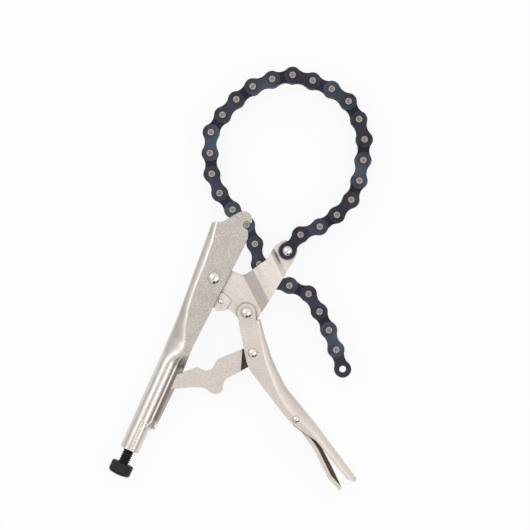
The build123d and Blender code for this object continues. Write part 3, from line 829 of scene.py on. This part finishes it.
def knob_profile():
    """(radius, height, share of knurling) from the domed end up to the face by the thread."""
    rows = [(0, 0, 0), (2.2, 0.05, 0), (4.2, 0.25, 0), (KNOB_RADIUS - KNOB_CORNER, 0.7, 0)]
    steps = 8
    for i in range(1, steps + 1):
        turn = pi / 2 * i / steps
        rows.append((
            KNOB_RADIUS - KNOB_CORNER * (1 - sin(turn)),
            0.7 + KNOB_CORNER * (1 - cos(turn)),
            i / steps,
        ))
    foot = 0.7 + KNOB_CORNER
    top = KNOB_DOME + KNOB_LENGTH
    straight = top - KNOB_ROUNDING - foot
    for i in range(1, 15):
        rows.append((KNOB_RADIUS, foot + straight * i / 14, 1))
    for i in range(1, steps + 1):
        turn = pi / 2 * i / steps
        rows.append((
            KNOB_RADIUS - KNOB_ROUNDING * (1 - cos(turn)),
            top - KNOB_ROUNDING * (1 - sin(turn)),
            1 - i / steps,
        ))
    rows.append((0, top, 0))
    return rows


def knob():
    count = KNURL_COUNT * 4
    points, rows = [], []
    for radius, height, share in knob_profile():
        if radius == 0:
            rows.append([len(points)])
            points.append((0, 0, height))
            continue
        rows.append(list(range(len(points), len(points) + count)))
        for i in range(count):
            around = KNURL_COUNT * i / count
            slant = 2 * height / KNURL_SLANT
            cut = triangle_wave(around + slant) + triangle_wave(around - slant)
            deep = share * KNURL_DEPTH * cut
            turn = 2 * pi * i / count
            points.append(((radius - deep) * cos(turn), (radius - deep) * sin(turn), height))
    return mesh_of("knob", points, skin(rows))


def thread(start, length):
    """A bar whose surface rises and falls along one helix."""
    count, rows_per_pitch = 40, 8
    points, rows = [(0, 0, start)], [[0]]
    for row in range(int(length / THREAD_PITCH * rows_per_pitch) + 1):
        height = start + row * THREAD_PITCH / rows_per_pitch
        rows.append(list(range(len(points), len(points) + count)))
        for i in range(count):
            crest = triangle_wave(height / THREAD_PITCH + i / count)
            radius = SCREW_RADIUS - THREAD_DEPTH * (1 - min(1, 1.25 * crest))
            turn = 2 * pi * i / count
            points.append((radius * cos(turn), radius * sin(turn), height))
    rows.append([len(points)])
    points.append((0, 0, start + length))
    return mesh_of("thread", points, skin(rows))


def make_screw(frame, materials):
    """The screw's axis and its ends come from the slide joint and the solid's own box."""
    slide = next(j for j in frame["joints"] if j["name"] == "screw_travel")
    axis = Vector(slide["axis"]).normalized()
    points = [v.co for v in frame["nodes"]["adjusting_screw"].data.vertices]
    start = min(p.dot(axis) for p in points)
    end = max(p.dot(axis) for p in points)
    across = axis.cross(Vector((0, 0, 1))).normalized()
    offsets = [p.dot(across) for p in points]
    side = (min(offsets) + max(offsets)) / 2
    origin = axis * start + across * side + Vector((0, 0, centre_of("adjusting_screw").z))
    turn = Matrix.Identity(3)
    turn.col[0] = across
    turn.col[1] = axis.cross(across)
    turn.col[2] = axis
    place = Matrix.Translation(origin) @ turn.to_4x4()
    head = KNOB_DOME + KNOB_LENGTH
    rest = (end - start) / MM - head - THREAD_LENGTH
    foot = head + THREAD_LENGTH
    bar = lathe("bar", [
        (0, foot), (SCREW_RADIUS - 0.4, foot), (SCREW_RADIUS - 0.4, foot + rest - 1),
        (SCREW_RADIUS - 1.2, foot + rest), (0, foot + rest),
    ])
    turned = [knob(), thread(head - 0.2, THREAD_LENGTH + 0.2), bar]
    parts = [(mesh, materials["oxide"]) for mesh in turned]
    screw = piece("adjusting_screw_dressed", parts, place)
    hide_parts("adjusting_screw")
    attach(screw, "adjusting_screw")


# Spring

def tube(name, path, radius, count=8):
    """A round wire that follows a run of points."""
    points, rows = [], []
    for i, here in enumerate(path):
        ahead = (path[min(i + 1, len(path) - 1)] - path[max(i - 1, 0)]).normalized()
        side = ahead.cross(Vector((0, 0, 1)))
        side = side.normalized() if side.length > 1e-3 else Vector((1, 0, 0))
        up = ahead.cross(side)
        rows.append(list(range(len(points), len(points) + count)))
        for j in range(count):
            turn = 2 * pi * j / count
            points.append(here + (side * cos(turn) + up * sin(turn)) * radius)
    rows.insert(0, [len(points)])
    rows.append([len(points) + 1])
    points += [path[0], path[-1]]
    return mesh_of(name, points, skin(rows))


def spring_shift(reach, length):
    """How far the spring's line stands off to its left at a distance from the rivet."""
    return -SPRING_SHIFT * eased(reach, 2, 10) * (1 - eased(reach, length - 4, length))


def make_spring(materials):
    """Close-wound coil between the bracket's rivet and the pin across the fixed handle."""
    start = centre_of("spring_rivet") / MM
    end = centre_of("spring_anchor_pin") / MM
    along = (end - start).normalized()
    side = Vector((-along.y, along.x, 0))
    up = Vector((0, 0, 1))
    length = (end - start).length
    coil = SPRING_OUTER - SPRING_WIRE / 2
    path = []
    for i in range(25):
        turn = pi * 0.25 + 1.75 * pi * i / 24
        path.append(start + along * (-SPRING_EYE * cos(turn + pi)) + side * SPRING_EYE * sin(turn))
    for i in range(1, 12):
        reach = SPRING_EYE + (SPRING_COIL_FROM - SPRING_EYE) * i / 12
        path.append(start + along * reach + side * spring_shift(reach, length))
    coiled = length - SPRING_COIL_FROM - SPRING_COIL_END
    turns = coiled / (SPRING_WIRE * 1.04)
    steps = int(turns * 14)
    for i in range(steps + 1):
        turn = 2 * pi * turns * i / steps
        reach = SPRING_COIL_FROM + coiled * i / steps
        bent = side * spring_shift(reach, length)
        path.append(start + along * reach + bent + side * coil * cos(turn) + up * coil * sin(turn))
    for i in range(1, 4):
        reach = length - SPRING_COIL_END + i
        path.append(start + along * reach + side * spring_shift(reach, length))
    for i in range(25):
        turn = pi + 1.75 * pi * i / 24
        path.append(end + along * (SPRING_EYE * cos(turn)) + side * SPRING_EYE * sin(turn))
    wire = tube("spring", path, SPRING_WIRE / 2)
    spring = piece("tension_spring_dressed", [(wire, materials["spring"])])
    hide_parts("tension_spring")
    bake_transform(spring)


# Fixed handle

def screw_point(along, across, height=0.0):
    """A place from its distances along the screw's axis, to the right of it and above it."""
    c, s = cos(radians(SCREW_ANGLE)), sin(radians(SCREW_ANGLE))
    return (SCREW_MOUTH[0] + c * along + s * across, SCREW_MOUTH[1] + s * along - c * across, height)


def channel_half(back, boundary, half, points, reach=CHANNEL_REACH):
    """Half a channel's section: an upright back, a sloping shoulder and a flat wall."""
    width = boundary - back
    drop, run = 0.0, [(boundary, half)]
    for i in range(1, points[0] - WALL_POINTS + 1):
        share = i / (points[0] - WALL_POINTS)
        slope = radians(between(SHOULDER_SLOPES, share - 0.5 / (points[0] - WALL_POINTS)))
        drop += width * tan(slope) / (points[0] - WALL_POINTS)
        run.append((boundary - width * share, drop))
    fit = min(1.0, 0.97 * half / drop)
    run = [(across, half if i == 0 else half - fit * down) for i, (across, down) in enumerate(run)]
    foot = run[-1][1]
    for i in range(1, WALL_POINTS + 1):
        run.append((back, foot * (1 - i / WALL_POINTS)))
    run.reverse()
    for i in range(1, points[1] + 1):
        run.append((boundary + (reach - boundary) * (i / points[1]) ** 1.5, half))
    return run


def tube_half(radius, crease_at, thick, points):
    """Half the pinched section: a tube, a crease, and a flange that falls away to its edge."""
    last = pi - acos(min(1.0, crease_at / radius))
    run = [(-radius * cos(last * i / points[0]), radius * sin(last * i / points[0]))
           for i in range(points[0] + 1)]
    run.append((crease_at + 0.7, CREASE_FLOOR - thick))
    for i in range(1, points[1]):
        across = FLANGE[0][0] + (CHANNEL_REACH - FLANGE[0][0]) * (i / (points[1] - 1)) ** 1.6
        run.append((across, between(FLANGE, across) - thick))
    return run


def collar_half(radius, crease_at, points):
    """Half a closed tube, with the seam's gap on its right side and a fold along its top."""
    last = pi - acos(min(1.0, crease_at / radius))
    turns = [last * i / points[0] for i in range(points[0] + 1)]
    turns += [last + (pi - SEAM - last) * i / points[1] for i in range(1, points[1] + 1)]
    run = []
    for turn in turns:
        across, height = -radius * cos(turn), radius * sin(turn)
        fold = FOLD_DEPTH / (1 + ((across - FOLD_AT) / FOLD_WIDTH) ** 2)
        run.append((across, height - fold * min(1, radius / TUBE_RADIUS) * (height > 3)))
    return run


def fixed_half(along, inner):
    """Half the handle's section at a distance up from its mouth: the outer or the inner face."""
    thick = SHEET if inner else 0.0
    channel = channel_half(
        between(BACK_LINE, along) + thick,
        between(BOUNDARY_LINE, along) + 0.4 * thick,
        CHANNEL_HALF - thick, FIXED_STEPS,
    )
    radius = TUBE_RADIUS - thick
    crease = CREASE_AT - 0.3 * thick
    pinched = tube_half(radius, crease, thick, FIXED_STEPS)
    if inner:
        collar = collar_half(MOUTH_RADIUS, MOUTH_RADIUS / 2, FIXED_STEPS)
    else:
        collar = collar_half(radius, crease, FIXED_STEPS)
    shape = mixed(collar, pinched, eased(along, *COLLAR))
    return mixed(shape, channel, eased(along, *FLARE))


def closed_section(outer, inner):
    """One loop round a folded sheet: up its outside and back down its inside."""
    loop = [(across, -height) for across, height in outer[::-1]] + outer[1:]
    return loop + inner[::-1] + [(across, -height) for across, height in inner[1:]]


def fixed_handle(materials, hook):
    sections = []
    along = 0.0
    while along < FIXED_LENGTH:
        loop = closed_section(fixed_half(along, False), fixed_half(along, True))
        sections.append([screw_point(along, across, height) for across, height in loop])
        along += FINE_STEP if along < FINE_LENGTH else COARSE_STEP
    shell = loft("shell", sections)
    foot = [screw_point(*place)[:2] for place in FIXED_FOOT]
    loop = rounded(FIXED_POINTS + foot, FIXED_RADII + FIXED_FOOT_RADII)
    shell = combined(shell, prism("outline", loop, -CUT_HEIGHT, CUT_HEIGHT), "INTERSECT")
    # The handle's plating has painted shade on its pinched flanges.
    return [(combined(shell, hook_cutter(hook), "DIFFERENCE"), materials["flange_shaded"])]


def hook_cutter(at):
    """The open slot that catches a chain pin."""
    reach = Vector((cos(radians(HOOK_ANGLE)), sin(radians(HOOK_ANGLE))))
    side = Vector((-reach.y, reach.x))
    middle = Vector(at)
    mouth = middle + reach * HOOK_REACH
    loop = [mouth - side * HOOK_RADIUS, mouth + side * HOOK_RADIUS]
    for i in range(17):
        turn = radians(HOOK_ANGLE) + pi / 2 + pi * i / 16
        loop.append(middle + Vector((cos(turn), sin(turn))) * HOOK_RADIUS)
    return prism("hook", [tuple(p) for p in loop], -CUT_HEIGHT, CUT_HEIGHT)


# Moving handle

def along_line(points, step):
    """Places at even distances along a run of points, each with its way ahead."""
    places, left = [], 0.0
    for a, b in zip(points, points[1:]):
        a, b = Vector(a), Vector(b)
        length = (b - a).length
        while left < length:
            places.append((a + (b - a) * left / length, (b - a).normalized()))
            left += step
        left -= length
    return places


def movable_handle(materials):
    line = rounded(MOVING_BACK, MOVING_BENDS, close=False)
    sections = []
    for index, (place, ahead) in enumerate(along_line(line, MOVING_STEP)):
        down = index * MOVING_STEP - SHOULDER
        inside = Vector((ahead.y, -ahead.x))
        half = between(MOVING_HALF, down)
        reach = between(MOVING_ROUND, down)
        outer = channel_half(0, reach, half, MOVING_STEPS)
        inner = channel_half(SHEET, reach + 0.5 * SHEET, half - SHEET, MOVING_STEPS)
        sections.append([
            (place.x + inside.x * across, place.y + inside.y * across, height)
            for across, height in closed_section(outer, inner)
        ])
    ear = []
    for i in range(21):
        turn = radians(187 - 187 * i / 20)
        ear.append((EAR_CENTRE[0] + EAR_RADIUS * cos(turn), EAR_CENTRE[1] + EAR_RADIUS * sin(turn)))
    loop = rounded(MOVING_POINTS + ear, MOVING_RADII + [0] * len(ear))
    outline = prism("outline", loop, -CUT_HEIGHT, CUT_HEIGHT)
    return [(combined(loft("shell", sections), outline, "INTERSECT"), materials["warm"])]


# Jaw

def jaw_plate(materials):
    top = rounded(JAW_HEIGHTS, JAW_BENDS, close=False)
    bottom = []
    for i, (at, height) in enumerate(top):
        a, b = Vector(top[max(i - 1, 0)]), Vector(top[min(i + 1, len(top) - 1)])
        way = (b - a).normalized()
        bottom.append((at + way.y * JAW_SHEET, height - way.x * JAW_SHEET))
    c, s = cos(radians(CREASE_ACROSS)), sin(radians(CREASE_ACROSS))
    sections = []
    for side in (-JAW_REACH, JAW_REACH):
        loop = [(CREASE_FOOT + at, height) for at, height in top + bottom[::-1]]
        sections.append([(at * c - side * s, at * s + side * c, height) for at, height in loop])
    sheet = loft("sheet", sections)
    outline = prism("outline", rounded(JAW_POINTS, JAW_RADII), 0, JAW_CUT_TOP)
    return [(combined(sheet, outline, "INTERSECT"), materials["bright"])]


# Parts shown as the frame's own solids, with their faces joined

def joined_solid(frame, name):
    form = bmesh.new()
    form.from_mesh(frame["nodes"][name].data)
    bmesh.ops.remove_doubles(form, verts=form.verts, dist=1e-6)
    mesh = bpy.data.meshes.new(name)
    form.to_mesh(mesh)
    form.free()
    return mesh


def dressed(frame, name, parts, place=Matrix.Identity(4)):
    """A piece that takes a solid's place and moves with its body."""
    thing = piece(name + "_dressed", parts, place)
    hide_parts(name)
    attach(thing, body_of_node(frame, name))
    return thing


def make_pressed(frame, materials):
    pivot = Matrix.Translation(centre_of("jaw_pivot_rivet"))
    hook = (pivot.inverted() @ chain_pins(frame)[HOOKED_PIN]) / MM
    dressed(frame, "fixed_handle", fixed_handle(materials, hook.xy), pivot)
    dressed(frame, "movable_handle", movable_handle(materials), pivot)
    front = jaw_plate(materials)
    dressed(frame, "jaw_plate_front", front, pivot)
    back = [(mirrored(mesh), finish) for mesh, finish in front]
    dressed(frame, "jaw_plate_back", back, pivot)
    for name, finish in (
        ("jaw_spacers", "cool"), ("pivot_washers", "cool"), ("spring_bracket", "bright"),
        ("toggle_spacers", "cool"), ("chain_anchor_bush", "bush"),
    ):
        dressed(frame, name, [(joined_solid(frame, name), materials[finish])])
    make_toggle(frame, materials, pivot)
    make_lever(frame, materials, pivot)


def make_toggle(frame, materials, pivot):
    """The link's bar is bright, and the thinner tongue inside the moving handle is coloured dark brown as
    painted shade.
    """
    upper, lower = (Vector(p) for p in TONGUE_STEP)
    edge = lower - upper
    origin = pivot.translation.xy / MM

    def finish(centre):
        way = centre.xy - origin - upper
        return materials["tongue_shade"] if edge.cross(way) > 0.05 else materials["warm"]

    dressed(frame, "toggle_link", [(joined_solid(frame, "toggle_link"), finish)])


def make_lever(frame, materials, pivot):
    """The lever's turned-out rim keeps the plating's colour; the rest is coloured dark as painted shade of
    its hollow.
    """
    level = pivot.translation.z / MM

    def finish(centre):
        rim = abs(centre.z - level) > LEVER_RIM
        return materials["warm"] if rim else materials["hollow"]

    dressed(frame, "release_lever", [(joined_solid(frame, "release_lever"), finish)])


# Floor, light and camera

def make_floor():
    mesh = bpy.data.meshes.new("floor")
    corners = [(FLOOR_REACH * x, FLOOR_REACH * y, 0) for x, y in ((-1, -1), (1, -1), (1, 1), (-1, 1))]
    mesh.from_pydata(corners, [], [(0, 1, 2, 3)])
    floor = bpy.data.objects.new("floor", mesh)
    bpy.context.scene.collection.objects.link(floor)
    floor.location.z = -FLOOR_GAP
    material, nodes, links = new_material("floor")
    nodes.remove(nodes["Principled BSDF"])
    matt = nodes.new("ShaderNodeBsdfDiffuse")
    matt.inputs["Color"].default_value = (0.86, 0.86, 0.86, 1)
    white = nodes.new("ShaderNodeEmission")
    white.inputs["Color"].default_value = (1, 1, 1, 1)
    ray = nodes.new("ShaderNodeLightPath")
    seen = ray.outputs["Is Camera Ray"]
    for kind in ("Is Glossy Ray", "Is Transmission Ray"):
        seen = maths(nodes, links, "MAXIMUM", seen, ray.outputs[kind])
    mix = nodes.new("ShaderNodeMixShader")
    links.new(maths(nodes, links, "MULTIPLY", seen, FLOOR_WHITE), mix.inputs["Fac"])
    links.new(matt.outputs["BSDF"], mix.inputs[1])
    links.new(white.outputs["Emission"], mix.inputs[2])
    links.new(mix.outputs["Shader"], nodes["Material Output"].inputs["Surface"])
    mesh.materials.append(material)
    floor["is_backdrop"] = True


def area_light(name, place, size, power, target=(0, 0, 0)):
    light = bpy.data.lights.new(name, "AREA")
    light.shape = "RECTANGLE"
    light.size, light.size_y = size
    light.energy = power
    lamp = bpy.data.objects.new(name, light)
    lamp.location = place
    lamp.rotation_euler = (Vector(target) - Vector(place)).to_track_quat("-Z", "Y").to_euler()
    bpy.context.scene.collection.objects.link(lamp)


def make_world():
    """A pale tent round the object, darker near the floor and on one side, with two dark gaps."""
    world = bpy.data.worlds.new("studio")
    bpy.context.scene.world = world
    world.use_nodes = True
    nodes, links = world.node_tree.nodes, world.node_tree.links
    where = nodes.new("ShaderNodeTexCoord")
    split = nodes.new("ShaderNodeSeparateXYZ")
    links.new(where.outputs["Generated"], split.inputs["Vector"])
    tent = ramp(nodes, links, split.outputs["Z"], [
        (0.0, (0.6, 0.58, 0.56)), (0.15, (0.64, 0.62, 0.6)), (0.45, (0.84, 0.83, 0.82)),
        (0.8, (1.08, 1.08, 1.08)), (0.92, (0.9, 0.9, 0.9)), (1.0, (0.71, 0.71, 0.71)),
    ])
    side = nodes.new("ShaderNodeVectorMath")
    side.operation = "DOT_PRODUCT"
    side.inputs[1].default_value = DIM_WAY
    links.new(where.outputs["Generated"], side.inputs[0])
    dim = nodes.new("ShaderNodeMapRange")
    dim.inputs["From Max"].default_value = 0.9
    dim.inputs["To Min"].default_value = 1.0
    dim.inputs["To Max"].default_value = DIM_SHARE
    links.new(side.outputs["Value"], dim.inputs["Value"])
    tent = multiplied(nodes, links, tent, dim.outputs["Result"])
    for way, size in DARK_GAPS:
        gap = nodes.new("ShaderNodeVectorMath")
        gap.operation = "DISTANCE"
        gap.inputs[1].default_value = Vector(way).normalized()
        links.new(where.outputs["Generated"], gap.inputs[0])
        hole = ramp(nodes, links, gap.outputs["Value"], [(0.6 * size, (0.05,) * 3), (size, (1, 1, 1))])
        tent = multiplied(nodes, links, tent, hole)
    links.new(tent, nodes["Background"].inputs["Color"])
    nodes["Background"].inputs["Strength"].default_value = 1.0


def make_light():
    make_world()
    area_light("key", (-0.56, 0.36, 1.15), (0.8, 0.8), 2.8)
    area_light("fill", (0.6, -0.4, 1.1), (0.8, 0.8), 2)


def make_camera():
    scene = bpy.context.scene
    data = bpy.data.cameras.new("camera")
    data.sensor_width = SENSOR
    middle = sum(c.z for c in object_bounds()) / 2 / MM
    data.lens = SENSOR * (VIEW_HEIGHT - middle) / VIEW_WIDTH
    data.clip_end = 20
    camera = bpy.data.objects.new("camera", data)
    camera.location = (VIEW_CENTRE[0] * MM, VIEW_CENTRE[1] * MM, VIEW_HEIGHT * MM)
    scene.collection.objects.link(camera)
    scene.camera = camera
    scene.view_settings.view_transform = "Standard"


def main():
    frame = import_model()
    make_camera()
    materials = make_materials()
    make_pressed(frame, materials)
    make_chain(frame, materials)
    make_rivets(frame, materials)
    make_anchor_pin(frame, materials)
    make_screw(frame, materials)
    make_spring(materials)
    make_floor()
    make_light()


main()
